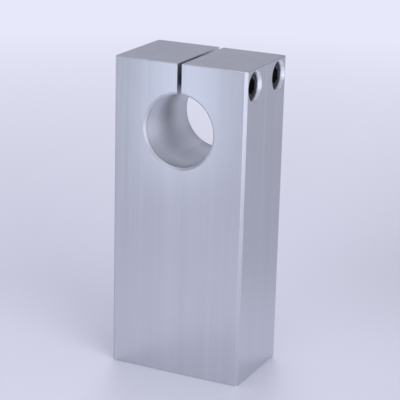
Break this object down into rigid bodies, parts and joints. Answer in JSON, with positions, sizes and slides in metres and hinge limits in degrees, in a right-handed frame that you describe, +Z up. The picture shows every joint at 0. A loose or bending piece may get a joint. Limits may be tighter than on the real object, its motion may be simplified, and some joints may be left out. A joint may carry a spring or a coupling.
{
  "type": "shaft support block",
  "caption": "Tall rectangular block that stands on its base and clamps a shaft in a split bore near its top, drawn tight by cap screws sunk in one side.",
  "frame": {"origin": "middle of the base", "axes": "+X across the jaws, towards the side with the screw heads; +Y along the shaft; +Z up"},
  "size_m": [0.049, 0.032, 0.11],
  "materials": {
    "satin_aluminium": "satin, with the drawn grain of the bar running up the faces",
    "black_steel": "black oxide"
  },
  "bodies": {
    "root": {"support_block": "satin_aluminium", "front_clamp_screw": "black_steel", "rear_clamp_screw": "black_steel"}
  },
  "joints": []
}
